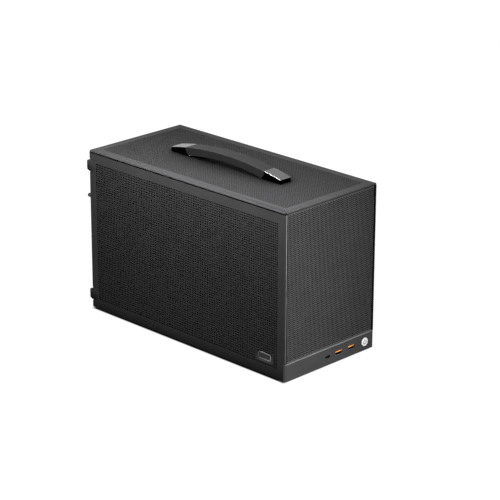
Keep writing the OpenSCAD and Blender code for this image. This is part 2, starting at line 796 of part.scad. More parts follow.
// Board that carries the ports and the power switch
module io_board() {
  color([0.05, 0.16, 0.1]) translate([0, 0, io_board_z]) linear_extrude(io_board_t) difference() {
    box_2d([io_board_x0, io_board_y0], [io_board_x1, io_board_y1]);
    for (x = spacer_x) translate([x, spacer_y]) circle(m3_hole_r);
  }
}

// Threaded spacers between the front frame's lower flange and the board
module io_board_spacers() {
  h = io_board_z - spacer_z;
  color([0.75, 0.62, 0.32]) for (x = spacer_x)
    translate([x, spacer_y, spacer_z]) difference() {
      cylinder(r = spacer_r, h = h, $fn = 6);
      translate([0, 0, -1]) cylinder(r = m3_r, h = h + 2);
    }
}

// Screws through the board into its spacers
module io_board_screws() {
  l = board_top_z - spacer_z;
  color([0.5, 0.5, 0.52]) for (x = spacer_x)
    translate([x, spacer_y, spacer_z]) union() {
      cylinder(r = m3_r, h = l);
      translate([0, 0, l]) cylinder(r = m3_head_r, h = m3_head_h);
    }
}

// USB-C port: oval metal shell on a moulded base, with its contact tongue
module usb_c_port() {
  y0 = from_front(port_recess);
  low = port_z - usb_c_size[1] / 2;
  color([0.55, 0.55, 0.57]) union() {
    difference() {
      translate([usb_c_x, y0, port_z]) xz_plate(usb_c_l) stadium(usb_c_size);
      translate([usb_c_x, y0 - 1, port_z]) xz_plate(usb_c_l - 1)
        stadium(usb_c_size - 2 * [usb_c_wall, usb_c_wall]);
    }
    translate([usb_c_x - 3.35, y0 + 1, port_z - 0.35]) cube([6.7, usb_c_l - 2.5, 0.7]);
    translate([usb_c_x - 3, io_board_y0, board_top_z])
      cube([6, y0 + usb_c_l - io_board_y0, low - board_top_z + usb_c_wall / 2]);
  }
}

// USB-A shell: folded metal sleeve, open at both ends
module usb_a_shell(x) {
  color([0.6, 0.6, 0.62]) translate([x, from_front(port_recess), port_z])
    xz_plate(usb_a_l) difference() {
      square(usb_a_size, center = true);
      square(usb_a_mouth, center = true);
    }
}

// USB-A insert: block that closes the sleeve's back, with the tongue in the upper half
module usb_a_insert(x) {
  y0 = from_front(port_recess);
  back_l = 4;
  tongue = [11.1, 1.9];
  color([0.9, 0.5, 0.05]) translate([x, 0, port_z]) union() {
    translate([0, y0 + usb_a_l - back_l, 0]) xz_plate(back_l) square(usb_a_mouth, center = true);
    translate([0, y0 + 0.8, 0.75]) xz_plate(usb_a_l - back_l - 0.8 + eps) square(tongue, center = true);
  }
}

module usb_a_shell_1() usb_a_shell(usb_a_x[0]);
module usb_a_shell_2() usb_a_shell(usb_a_x[1]);
module usb_a_insert_1() usb_a_insert(usb_a_x[0]);
module usb_a_insert_2() usb_a_insert(usb_a_x[1]);

// Power switch: small upright block on the board, with a round nub that faces the button
module power_switch() {
  color([0.1, 0.1, 0.11]) union() {
    translate([button_x - switch_side / 2, switch_y, board_top_z])
      cube([switch_side, switch_d, switch_side]);
    rod("y", [button_x, switch_y - switch_nub, port_z], 1.7, switch_nub + eps);
  }
}

// Power button: cap in the bar's round opening, with a retaining flange and a stem
module power_button() {
  flange_y = from_front(bar_wall + 0.1);
  stem_end = switch_y - switch_nub - button_travel - 0.1;
  color([0.86, 0.86, 0.85]) union() {
    rod("y", [button_x, front_y - button_proud, port_z], button_r,
        flange_y - front_y + button_proud + eps);
    rod("y", [button_x, flange_y, port_z], button_flange_r, button_flange_t);
    rod("y", [button_x, flange_y + button_flange_t - eps, port_z], 2,
        stem_end - flange_y - button_flange_t + eps);
  }
}

// Outline of one pull tab, from the panel's flat out past the rear face
module tab_2d(z) {
  root_y = rear_y - panel_bend - eps;
  reach_y = rear_y + tab_reach;
  slope = 1.5;
  polygon([[root_y, z - tab_w / 2], [rear_y, z - tab_w / 2], [reach_y - 1, z - tab_w / 2 + slope],
           [reach_y, z - tab_w / 2 + slope + 1], [reach_y, z + tab_w / 2 - slope - 1],
           [reach_y - 1, z + tab_w / 2 - slope], [rear_y, z + tab_w / 2], [root_y, z + tab_w / 2]]);
}

// Left side panel: perforated flat, front and rear flanges, pull tabs and thumbscrew slot
module side_panel(skip) {
  flat_y = [front_y + panel_bend, rear_y - panel_bend];
  gap = tab_w / 2 + tab_notch;
  rear_parts = [[side_z0, tab_z[0] - gap], [tab_z[0] + gap, tab_z[1] - gap], [tab_z[1] + gap, side_z1]];
  corner_y = front_y + bar_corner + 0.3;
  translate([-half_w, 0, 0]) yz_plate(panel_t) difference() {
    union() {
      box_2d([flat_y[0], side_z0], [flat_y[1], side_z1]);
      for (z = tab_z) tab_2d(z);
    }
    box_2d([flat_y[0] - 1, side_z0 - 1], [corner_y, bar_top_z + panel_gap / 2]);
    square_holes([front_y + perf_border, side_z0 + perf_border],
                 [rear_y - perf_border, side_z1 - perf_border], skip);
  }
  translate([-half_w, front_y, bar_top_z + panel_gap / 2])
    linear_extrude(side_z1 - bar_top_z - panel_gap / 2)
      bend_2d(side_front_flange, panel_bend + eps, panel_t, panel_bend);
  for (part = rear_parts) difference() {
    translate([-half_w, rear_y, part[0]]) mirror([0, 1, 0]) linear_extrude(part[1] - part[0])
      bend_2d(side_rear_flange, panel_bend + eps, panel_t, panel_bend);
    translate([-screw_x, rear_y - panel_t - 1, screw_z]) xz_plate(panel_t + 2) union() {
      circle(screw_shank_r + slot_clearance);
      translate([0, -screw_shank_r - slot_clearance])
        square([side_rear_flange, 2 * (screw_shank_r + slot_clearance)]);
    }
  }
}

// Left panel, with the recess of its badge
module left_panel() {
  color([0.17, 0.17, 0.17]) difference() {
    side_panel([[badge_at, badge_size + [5, 5]]]);
    translate([-half_w - 1, badge_at[0], badge_at[1]]) yz_plate(badge_t + 1)
      round_rect(badge_size[0] + 0.2, badge_size[1] + 0.2, badge_corner);
  }
}

module right_panel() {
  color([0.17, 0.17, 0.17]) mirror([1, 0, 0]) side_panel([]);
}

// Bare badge plate, flush with the left panel
module side_badge() {
  color([0.3, 0.3, 0.3]) translate([-half_w, badge_at[0], badge_at[1]]) yz_plate(badge_t)
    round_rect(badge_size[0], badge_size[1], badge_corner);
}

// Ball stud that stands on a panel's inner face and points along +Z, reaching through a sheet at depth
module ball_stud(depth) {
  union() {
    cylinder(r = stud_base_r, h = stud_base_t);
    cylinder(r = ball_neck_r, h = depth);
    translate([0, 0, depth]) sphere(ball_r);
  }
}

// Round clip that lines a hole: sleeve through the sheet and a collar behind it
module clip() {
  difference() {
    union() {
      cylinder(r = clip_r, h = clip_l);
      translate([0, 0, frame_t]) cylinder(r = clip_collar_r, h = clip_collar_t);
    }
    translate([0, 0, -1]) cylinder(r = clip_bore_r, h = clip_l + 2);
  }
}

// Studs of the left panel; the right panel has their mirror image
module side_studs() {
  for (y = side_stud_y, z = [stud_low_z, stud_high_z])
    translate([-side_in, y, z]) rotate([0, 90, 0]) ball_stud(side_gap + frame_t + ball_depth);
}

module left_panel_studs() color([0.7, 0.7, 0.72]) side_studs();
module right_panel_studs() color([0.7, 0.7, 0.72]) mirror([1, 0, 0]) side_studs();

// Clips in the rails of the base pan and the top frame
module side_clips() {
  color([0.1, 0.1, 0.1]) for (s = [0, 1], y = side_stud_y, z = [stud_low_z, stud_high_z])
    mirror([s, 0, 0]) translate([-chassis_half, y, z]) rotate([0, 90, 0]) clip();
}

module front_mesh_studs() {
  color([0.7, 0.7, 0.72]) for (x = mesh_stud_x, z = mesh_stud_z)
    translate([x, mesh_y + mesh_t, z]) rotate([-90, 0, 0])
      ball_stud(wall_front_in - mesh_y - mesh_t + ball_depth);
}

module front_clips() {
  color([0.1, 0.1, 0.1]) for (x = mesh_stud_x, z = mesh_stud_z)
    translate([x, wall_front_y, z]) rotate([-90, 0, 0]) clip();
}

// Top panel: perforated sheet with a short lip folded down on all four sides
module top_panel() {
  r = lip_bend;
  len_y = body_d - 2 * r;
  len_x = body_w - 2 * r;
  pads = [for (s = [-1, 1]) [[0, handle_y + s * handle_screw_y], [10, 14]]];
  color([0.22, 0.22, 0.22]) difference() {
    union() {
      translate([0, 0, top_z - panel_t]) linear_extrude(panel_t) difference() {
        box_2d([-half_w + r, front_y + r], [half_w - r, rear_y - r]);
        square_holes([-half_w + perf_border, front_y + perf_border],
                     [half_w - perf_border, rear_y - perf_border], pads);
      }
      for (s = [0, 1]) mirror([s, 0, 0]) translate([-half_w, front_y + r, top_z]) mirror([0, 0, 1])
        xz_plate(len_y) bend_2d(r + eps, top_lip, panel_t, r);
      for (s = [0, 1]) translate([-half_w + r, s == 1 ? rear_y : front_y, top_z]) mirror([0, 0, 1])
        mirror([0, s, 0]) yz_plate(len_x) bend_2d(r + eps, top_lip, panel_t, r);
    }
    for (s = [-1, 1])
      rod("z", [0, handle_y + s * handle_screw_y, top_z - panel_t - 1], handle_screw_r + 0.2, panel_t + 2);
  }
}

// Front mesh: staggered holes, and a flange folded back on each side
module front_mesh() {
  r = mesh_bend;
  depth = mesh_end_y - mesh_y;
  skip = [for (x = mesh_stud_x, z = mesh_stud_z) [[x, z], [6, 6]]];
  color([0.2, 0.2, 0.2]) union() {
    translate([0, mesh_y, 0]) xz_plate(mesh_t) difference() {
      box_2d([-mesh_half + r, mesh_z0], [mesh_half - r, mesh_z1]);
      staggered_holes([-mesh_half + mesh_border, mesh_z0 + mesh_border],
                      [mesh_half - mesh_border, mesh_z1 - mesh_border], skip);
    }
    for (s = [0, 1]) mirror([s, 0, 0]) translate([-mesh_half, mesh_y, mesh_z0])
      linear_extrude(mesh_z1 - mesh_z0) bend_2d(r + eps, depth, mesh_t, r);
  }
}

// Thumbscrew: slim head behind the panel's flange, shank through the rear panel
module thumbscrew() {
  neck = panel_t + rear_gap + rear_gap;
  color([0.12, 0.12, 0.12]) translate([screw_x, rear_y + rear_gap, screw_z]) rotate([-90, 0, 0]) union() {
    cylinder(r = screw_head_r, h = screw_head_l - 1);
    translate([0, 0, screw_head_l - 1 - eps])
      cylinder(r1 = screw_head_r, r2 = screw_head_r - 0.8, h = 1 + eps, $fn = 48);
    translate([0, 0, -neck - frame_t - 4]) cylinder(r = screw_shank_r, h = neck + frame_t + 4 + eps);
  }
}

module thumbscrew_left() mirror([1, 0, 0]) thumbscrew();
module thumbscrew_right() thumbscrew();

// Side view of the handle: Y from its middle, Z from the top face
module handle_side(inner, outer) {
  intersection() {
    translate([0, handle_rise - top_arc_r]) circle(top_arc_r, $fn = 180);
    box_2d([inner, 0], [outer, handle_rise + 1]);
  }
}

// Side view of the grip, grown by extra for the space it takes in the end caps
module grip_side(extra) {
  c = grip_corner;
  low_z = handle_gap - low_arc_r;
  difference() {
    handle_side(-grip_half - extra, grip_half + extra);
    translate([0, low_z]) circle(low_arc_r - extra, $fn = 180);
    for (s = [-1, 1]) translate([s * (grip_half + extra), 0]) difference() {
      square(2 * c, center = true);
      translate([-s * c, c + 1.2]) circle(c, $fn = 48);
      translate([-s * 2 * c, c]) square([2 * c, 2 * c], center = true);
    }
  }
}

// Grip of the handle
module handle_grip() {
  color([0.2, 0.2, 0.2]) translate([-handle_w / 2, handle_y, top_z]) yz_plate(handle_w) grip_side(0);
}

// End cap at +Y: its side view less the grip's, cut to a plan with chamfered corners
module handle_cap() {
  end = handle_l / 2;
  c = cap_chamfer;
  h = cap_w / 2;
  difference() {
    intersection() {
      translate([-h, 0, 0]) yz_plate(cap_w) difference() {
        handle_side(cap_inner, end);
        grip_side(grip_clearance);
      }
      linear_extrude(handle_rise)
        polygon([[-h, cap_inner], [h, cap_inner], [h, end - c], [h - c, end], [c - h, end], [-h, end - c]]);
    }
    rod("z", [0, handle_screw_y, -1], handle_screw_r + thread_clearance, handle_screw_grip + 1);
  }
}

module handle_cap_rear() {
  color([0.3, 0.3, 0.3]) translate([0, handle_y, top_z]) handle_cap();
}

module handle_cap_front() {
  color([0.3, 0.3, 0.3]) translate([0, handle_y, top_z]) mirror([0, 1, 0]) handle_cap();
}

// Screws from inside the top frame into the end caps
module handle_screws() {
  color([0.5, 0.5, 0.52]) for (s = [-1, 1])
    translate([0, handle_y + s * handle_screw_y, frame_under]) union() {
      cylinder(r = handle_screw_r, h = frame_t + panel_t + handle_screw_grip - 0.5);
      translate([0, 0, -handle_screw_head_h]) cylinder(r = handle_screw_head_r, h = handle_screw_head_h);
    }
}

// Places of the four feet, under the base pan
module foot_places() {
  for (sx = [-1, 1], y = [wall_front_y + foot_inset, rear_y - foot_inset])
    translate([sx * (half_w - foot_inset), y, base_z]) children();
}

// Rubber foot with a plug through the base pan
module foot(sx, y) {
  r = foot_r;
  c = foot_chamfer;
  color([0.07, 0.07, 0.07]) translate([sx * (half_w - foot_inset), y, 0]) rotate_extrude($fn = 64)
    polygon([[0, 0], [r - c, 0], [r, c], [r, base_z], [foot_plug_r - 0.05, base_z],
             [foot_plug_r - 0.05, base_top], [foot_plug_head, base_top], [foot_plug_r, base_top + 1.4],
             [0, base_top + 1.4]]);
}

module foot_front_left() foot(-1, wall_front_y + foot_inset);
module foot_front_right() foot(1, wall_front_y + foot_inset);
module foot_rear_left() foot(-1, rear_y - foot_inset);
module foot_rear_right() foot(1, rear_y - foot_inset);

base_pan();
front_frame();
rear_panel();
top_frame();
motherboard_tray();
motherboard_standoffs();
psu_bracket();
slot_cover_1();
slot_cover_2();
slot_screws();
ac_inlet();
ac_blades();
ac_inlet_screws();
base_rivets();
top_rivets();
front_bar();
front_bar_screws();
io_board();
io_board_spacers();
io_board_screws();
usb_c_port();
usb_a_shell_1();
usb_a_shell_2();
usb_a_insert_1();
usb_a_insert_2();
power_switch();
power_button();
left_panel();
right_panel();
left_panel_studs();
right_panel_studs();
side_badge();
top_panel();
front_mesh();
front_mesh_studs();
side_clips();
front_clips();
thumbscrew_left();
thumbscrew_right();
handle_grip();
handle_cap_front();
handle_cap_rear();
handle_screws();
foot_front_left();
foot_front_right();
foot_rear_left();
foot_rear_right();
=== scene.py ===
import json
import math

import bmesh
import bpy
from mathutils import Matrix, Vector

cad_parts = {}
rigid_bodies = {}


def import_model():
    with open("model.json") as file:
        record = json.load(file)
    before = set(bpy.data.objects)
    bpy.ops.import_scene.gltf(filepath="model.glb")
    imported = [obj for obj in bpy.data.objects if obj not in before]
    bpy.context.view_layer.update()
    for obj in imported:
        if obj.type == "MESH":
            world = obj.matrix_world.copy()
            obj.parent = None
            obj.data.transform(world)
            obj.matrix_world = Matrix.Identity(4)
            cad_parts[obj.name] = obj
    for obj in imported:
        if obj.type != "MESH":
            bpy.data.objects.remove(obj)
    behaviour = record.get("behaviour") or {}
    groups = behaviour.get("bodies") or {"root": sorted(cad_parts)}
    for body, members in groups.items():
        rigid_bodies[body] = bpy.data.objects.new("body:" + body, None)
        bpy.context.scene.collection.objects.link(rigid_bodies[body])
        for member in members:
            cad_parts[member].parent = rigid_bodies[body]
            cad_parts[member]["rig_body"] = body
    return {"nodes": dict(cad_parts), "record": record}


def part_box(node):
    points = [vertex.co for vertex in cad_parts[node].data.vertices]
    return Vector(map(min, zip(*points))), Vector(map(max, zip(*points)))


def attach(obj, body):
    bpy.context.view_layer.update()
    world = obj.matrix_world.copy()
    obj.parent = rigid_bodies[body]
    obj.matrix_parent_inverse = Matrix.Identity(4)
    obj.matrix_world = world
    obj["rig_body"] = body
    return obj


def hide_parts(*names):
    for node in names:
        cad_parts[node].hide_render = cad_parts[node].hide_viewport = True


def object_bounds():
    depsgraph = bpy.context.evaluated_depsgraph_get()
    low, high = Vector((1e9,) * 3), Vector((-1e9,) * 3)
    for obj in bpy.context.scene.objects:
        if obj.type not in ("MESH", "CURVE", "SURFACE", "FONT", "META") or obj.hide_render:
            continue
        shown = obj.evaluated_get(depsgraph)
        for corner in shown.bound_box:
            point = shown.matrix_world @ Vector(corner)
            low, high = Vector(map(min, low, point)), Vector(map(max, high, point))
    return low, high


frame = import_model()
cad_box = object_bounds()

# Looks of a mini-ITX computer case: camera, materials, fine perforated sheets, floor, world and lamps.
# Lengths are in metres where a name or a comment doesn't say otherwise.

MM = 0.001
X, Y, Z = range(3)

nodes = frame["nodes"]
scene = bpy.context.scene
scene.view_settings.view_transform = "Standard"


# Camera

# The place was fitted to the corners of the body. DISTANCE and AIM are shares of the body's depth, and AIM
# starts at the middle of the body's underside.
AZIMUTH, ELEVATION, ROLL = (math.radians(angle) for angle in (-45.4482, 20.1946, 0.2113))
DISTANCE = 7.6598
AIM = Vector((0.11860, 0.01320, 0.26450))
PHOTO_SIDE_PIXELS = 500
FOCAL_LENGTH_PIXELS = 2083.16
SENSOR_WIDTH_IN_MM = 36
CLIP_START, CLIP_END = 0.1, 60


def make_camera():
    low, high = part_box("top_panel")
    depth = high.y - low.y
    underside = Vector((0, (low.y + high.y) / 2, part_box("front_bar")[0].z))
    back = Vector((math.sin(AZIMUTH) * math.cos(ELEVATION), -math.cos(AZIMUTH) * math.cos(ELEVATION),
                   math.sin(ELEVATION)))
    level = Vector((math.cos(AZIMUTH), math.sin(AZIMUTH), 0))
    upright = back.cross(level)
    right = level * math.cos(ROLL) + upright * math.sin(ROLL)
    up = upright * math.cos(ROLL) - level * math.sin(ROLL)
    place = (back * DISTANCE + AIM) * depth + underside
    data = bpy.data.cameras.new("photo_camera")
    data.sensor_width = SENSOR_WIDTH_IN_MM
    data.lens = FOCAL_LENGTH_PIXELS / PHOTO_SIDE_PIXELS * SENSOR_WIDTH_IN_MM
    data.clip_start, data.clip_end = CLIP_START, CLIP_END
    camera = bpy.data.objects.new("photo_camera", data)
    scene.collection.objects.link(camera)
    camera.matrix_world = Matrix.Translation(place) @ Matrix((right, up, back)).transposed().to_4x4()
    scene.camera = camera


make_camera()


# Shader nodes

def set_inputs(tree, node, inputs):
    """Gives each input, named or numbered, a value or another node's output."""
    for socket, value in inputs.items():
        if isinstance(value, bpy.types.NodeSocket):
            tree.links.new(value, node.inputs[socket])
        else:
            node.inputs[socket].default_value = value


def add_node(tree, kind, inputs=None, **settings):
    """New shader node of a kind, with its properties and inputs set."""
    node = tree.nodes.new("ShaderNode" + kind)
    for name, value in settings.items():
        setattr(node, name, value)
    set_inputs(tree, node, inputs or {})
    return node


def maths(tree, operation, *terms):
    """Result of a math node."""
    return add_node(tree, "Math", dict(enumerate(terms)), operation=operation).outputs["Value"]


def map_range(tree, value, start, end, first, last):
    """Runs from first to last while a value goes from start to end."""
    inputs = {"Value": value, "From Min": start, "From Max": end, "To Min": first, "To Max": last}
    return add_node(tree, "MapRange", inputs).outputs["Result"]


def colour_ramp(tree, value, stops):
    """Colour that follows a value through stops of (value, colour)."""
    node = add_node(tree, "ValToRGB", {"Fac": value})
    elements = node.color_ramp.elements
    while len(elements) < len(stops):
        elements.new(0.5)
    for element, (position, colour) in zip(elements, stops):
        element.position = position
        element.color = colour
    return node.outputs["Color"]


def own_axes(tree):
    """X, Y and Z of a point in the object's own space."""
    space = add_node(tree, "TexCoord").outputs["Object"]
    return add_node(tree, "SeparateXYZ", {"Vector": space}).outputs


def noise(tree, place, scale, detail):
    return add_node(tree, "TexNoise", {"Vector": place, "Scale": scale, "Detail": detail}).outputs["Fac"]


def mix_base(mat, blend, factor, colour):
    """Blends a colour into a material's base colour. The factor and the colour can be outputs of nodes."""
    tree = mat.node_tree
    base = tree.nodes["Principled BSDF"].inputs["Base Color"]
    inputs = {"Factor": factor, "A": base.links[0].from_socket, "B": colour}
    mix = add_node(tree, "Mix", inputs, data_type="RGBA", blend_type=blend)
    tree.links.new(mix.outputs["Result"], base)


def scale_colour(mat, factor):
    """Multiplies a material's base colour by a node's output."""
    mix_base(mat, "MULTIPLY", 1, factor)


def paint_over(mat, where, colour):
    """Gives a material another base colour where a node's output is 1."""
    mix_base(mat, "MIX", where, (*colour, 1))


# Materials

NOISE_LOW, NOISE_HIGH = 0.3, 0.7
PATCH_DETAIL, GRAIN_DETAIL = 5, 3
LEAST_ROUGHNESS = 0.02
CLEAR_COAT_ROUGHNESS = 0.2
BUMP_STRENGTH = 0.6
# PAINTED_SHADE_SAMPLES and PAINTED_SHADE_POWER set the painted shade in corners.
ROUNDING_SAMPLES, PAINTED_SHADE_SAMPLES = 4, 6
PAINTED_SHADE_POWER = 2.5

MATERIALS = {}


def material(name, colour, rough, metallic=0.0, specular=0.5, tint=0.08, patch=40, rough_spread=0.08,
             grain=1500, grain_depth=0.02, clear_coat=0.0, stretch=(1, 1, 1), edge=0.3, painted_facing_light=(), corner=0):
    """Principled material whose colour, roughness and surface vary a little, in the object's own space.
    Edges look rounded with the radius edge. slope is a row of (how far a face looks upwards, share of the
    colour): painted light and shade by which way a face looks. corner paints shade on what stands within
    that reach of other surfaces. edge, corner and grain_depth are in millimetres."""
    mat = bpy.data.materials.new(name)
    mat.use_nodes = True
    tree = mat.node_tree
    space = add_node(tree, "TexCoord").outputs["Object"]
    place = add_node(tree, "Mapping", {"Vector": space, "Scale": stretch}).outputs["Vector"]

    patches = noise(tree, place, patch, PATCH_DETAIL)
    darker = [c * (1 - tint) for c in colour] + [1]
    lighter = [min(1, c * (1 + tint)) for c in colour] + [1]
    base = colour_ramp(tree, patches, ((NOISE_LOW, darker), (NOISE_HIGH, lighter)))
    least, most = max(LEAST_ROUGHNESS, rough - rough_spread), min(1, rough + rough_spread)
    roughness = map_range(tree, patches, NOISE_LOW, NOISE_HIGH, least, most)

    grains = noise(tree, place, grain, GRAIN_DETAIL)
    bump = add_node(tree, "Bump", {"Strength": BUMP_STRENGTH, "Distance": grain_depth * MM, "Height": grains})
    if edge:
        rounded = add_node(tree, "Bevel", {"Radius": edge * MM}, samples=ROUNDING_SAMPLES).outputs["Normal"]
        tree.links.new(rounded, bump.inputs["Normal"])

    set_inputs(tree, tree.nodes["Principled BSDF"], {
        "Base Color": base, "Roughness": roughness, "Normal": bump.outputs["Normal"], "Metallic": metallic,
        "Specular IOR Level": specular, "Coat Weight": clear_coat, "Coat Roughness": CLEAR_COAT_ROUGHNESS})
    # Painted light and shade: the colour is scaled by how far the rounded face looks upwards.
    if painted_facing_light:
        upwards = add_node(tree, "SeparateXYZ", {"Vector": rounded}).outputs["Z"]
        scale_colour(mat, colour_ramp(tree, upwards, [(at, (share, share, share, 1)) for at, share in painted_facing_light]))
    # Painted shade: ambient occlusion darkens the colour where other surfaces stand close, such as gaps, pits
    # and the area under the handle.
    if corner:
        near = add_node(tree, "AmbientOcclusion", {"Distance": corner * MM}, samples=PAINTED_SHADE_SAMPLES)
        scale_colour(mat, maths(tree, "POWER", near.outputs["AO"], PAINTED_SHADE_POWER))
    MATERIALS[name] = mat


def grey(level, blue):
    """A grey with its own blue, which makes it a little cool or warm."""
    return (level, level, blue)


# SHADE_BLACK is the near black of painted shade: the pits of the holes, the dark seams and the insides of the
# ports.
SHADE_BLACK = grey(0.0015, 0.0016)
PANEL_GREY = grey(0.032, 0.033)
COAT_GRAIN = {"grain": 2600, "grain_depth": 0.03}
SATIN_GRAIN = {"grain": 2200, "grain_depth": 0.006, "rough_spread": 0.04}
SHELL_GRAIN = {"grain": 1600, "grain_depth": 0.01}
# Painted light and shade on the grip and the caps, as (how far a face looks upwards, share of the colour):
# dark sides, chamfers as bright painted highlights, and a dimmer top.
GRIP_PAINTED_LIGHT = ((0, 0.22), (0.3, 0.28), (0.4, 1), (0.86, 1), (0.93, 0.41))
CAP_PAINTED_LIGHT = ((0, 0.015), (0.3, 0.03), (0.4, 1), (0.88, 1), (0.95, 0.5))

# corner paints shade into the three coats below: darker under the handle, in the gaps between panels and in
# the pits.
material("panel_coat", PANEL_GREY, 0.5, specular=0.015, edge=0.15, corner=40, **COAT_GRAIN)
material("side_coat", PANEL_GREY, 0.5, specular=0.01, edge=0.15, corner=25, **COAT_GRAIN)
material("mesh_coat", grey(0.066, 0.067), 0.45, specular=0.05, edge=0, corner=4, **COAT_GRAIN)
# The light grey below is a painted highlight for the front edge faces of the side panels.
material("edge_painted_light", grey(0.30, 0.303), 0.4, specular=0.1, grain=2600)
# The near-black material below is painted shade, for the pits of the holes, the side panels' upper faces and
# the front mesh's side seams.
material("painted_shade_black", SHADE_BLACK, 0.8, specular=0.0, edge=0)
material("chassis_coat", grey(0.014, 0.0144), 0.6, specular=0.05, **COAT_GRAIN)
material("bar_plastic", grey(0.040, 0.041), 0.5, specular=0.06, grain=3200, grain_depth=0.04)
material("button_plastic", grey(0.86, 0.85), 0.38, tint=0.03, grain=2000, grain_depth=0.01)
material("grip_rubber", grey(0.032, 0.0325), 0.6, specular=0.10, grain=1800, grain_depth=0.05,
         rough_spread=0.06, edge=1.1, painted_facing_light=GRIP_PAINTED_LIGHT)
material("cap_metal", grey(0.28, 0.283), 0.26, metallic=1.0, edge=1.1, painted_facing_light=CAP_PAINTED_LIGHT, **SATIN_GRAIN)
material("badge_metal", grey(0.012, 0.0124), 0.3, metallic=0.6, specular=0.4, edge=0.5, **SATIN_GRAIN)
material("port_shell", grey(0.30, 0.305), 0.35, metallic=0.8, edge=0, **SHELL_GRAIN)
material("port_metal", grey(0.10, 0.102), 0.35, metallic=0.8, stretch=(1, 0.15, 1), edge=0, **SHELL_GRAIN)
material("port_black", grey(0.004, 0.004), 0.5, specular=0.05, edge=0)
material("port_orange", (0.95, 0.31, 0.005), 0.42, tint=0.05)
material("foot_rubber", grey(0.014, 0.014), 0.75, specular=0.3, grain=1200, grain_depth=0.08)
material("black_plastic", grey(0.012, 0.013), 0.4, grain=2400, grain_depth=0.03)
material("circuit_board", (0.008, 0.035, 0.018), 0.35, clear_coat=0.3, tint=0.15, patch=300)
material("brass", (0.62, 0.44, 0.17), 0.28, metallic=1.0, grain=2200, grain_depth=0.012)
material("fastener_steel", grey(0.52, 0.53), 0.32, metallic=1.0, grain=1800, grain_depth=0.012)
material("fastener_black", grey(0.018, 0.019), 0.36, metallic=0.4, grain=2000, grain_depth=0.015)


# Marks in the materials: the printed power sign, and painted shadows, shade and highlights

SIGN_RADIUS, SIGN_LINE = 2.7 * MM, 1.05 * MM
SIGN_GREY = grey(0.02, 0.02)
# Painted shadows in the seams: widths of the dark bands along the upper edges of the side panels and of the
# front mesh.
SIDE_SEAM_SHADE, MESH_SEAM_SHADE = 0.8 * MM, 0.5 * MM
# Painted highlight along the top edge of the front bar: its depth and its grey.
BAR_HIGHLIGHT_BAND, BAR_HIGHLIGHT_GREY = 0.4 * MM, grey(0.18, 0.182)
# Painted highlight on the side panels' front edges: the outer width that stays light, and a fade to a darker
# share towards the bottom, which is painted shade.
FRONT_HIGHLIGHT_WIDTH = 1.7 * MM
FRONT_HIGHLIGHT_LOW, FRONT_HIGHLIGHT_HIGH, FRONT_HIGHLIGHT_LEAST = 0.03, 0.2, 0.35
# Painted shade in the ports: the orange tongue is near black below this height over its middle, and the USB-A
# shells are near black deeper than this from their front.
TONGUE_ABOVE_MIDDLE = 0.45 * MM
PORT_RIM_DEPTH = 0.2 * MM
BADGE_RIM, BADGE_RIM_GREY = 1.0 * MM, grey(0.28, 0.283)
# Share of the badge's colour at its rear edge, painted shade.
BADGE_REAR_SHADE = 0.3


def mark_button():
    """Prints the power sign on the button's face: a ring, open at the top, and an upright line."""
    mat = MATERIALS["button_plastic"]
    tree = mat.node_tree
    low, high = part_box("power_button")
    axes = own_axes(tree)
    x = maths(tree, "SUBTRACT", axes["X"], (low.x + high.x) / 2)
    z = maths(tree, "SUBTRACT", axes["Z"], (low.z + high.z) / 2)
    squares = [maths(tree, "MULTIPLY", term, term) for term in (x, z)]
    radius = maths(tree, "SQRT", maths(tree, "ADD", *squares))
    off_ring = maths(tree, "ABSOLUTE", maths(tree, "SUBTRACT", radius, SIGN_RADIUS))
    beside = maths(tree, "ABSOLUTE", x)
    above = maths(tree, "GREATER_THAN", z, 0)
    gap = maths(tree, "MULTIPLY", above, maths(tree, "LESS_THAN", beside, 2 * SIGN_LINE))
    ring = maths(tree, "LESS_THAN", off_ring, SIGN_LINE / 2)
    ring = maths(tree, "MULTIPLY", ring, maths(tree, "SUBTRACT", 1, gap))
    upright = maths(tree, "MULTIPLY", above, maths(tree, "LESS_THAN", beside, SIGN_LINE / 2))
    upright = maths(tree, "MULTIPLY", upright, maths(tree, "LESS_THAN", z, SIGN_RADIUS + SIGN_LINE))
    paint_over(mat, maths(tree, "MAXIMUM", ring, upright), SIGN_GREY)


def band(name, axis, side, limit, colour):
    """Another colour where the distance from the middle along an axis is LESS_THAN or GREATER_THAN limit."""
    tree = MATERIALS[name].node_tree
    distance = maths(tree, "ABSOLUTE", own_axes(tree)[axis])
    paint_over(MATERIALS[name], maths(tree, side, distance, limit), colour)


def fade(name, axis, low, high, least):
    """Dims a material from its full colour at high to the share least at low, along an axis."""
    tree = MATERIALS[name].node_tree
    scale_colour(MATERIALS[name], map_range(tree, own_axes(tree)[axis], low, high, least, 1))


def rim(name, node, width, colour):
    """Another colour along the rim of a plate that looks along X."""
    tree = MATERIALS[name].node_tree
    low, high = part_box(node)
    axes = own_axes(tree)
    beyond = []
    for axis in (Y, Z):
        off = maths(tree, "SUBTRACT", axes[axis], (low[axis] + high[axis]) / 2)
        half = (high[axis] - low[axis]) / 2
        beyond.append(maths(tree, "GREATER_THAN", maths(tree, "ABSOLUTE", off), half - width))
    paint_over(MATERIALS[name], maths(tree, "MAXIMUM", *beyond), colour)


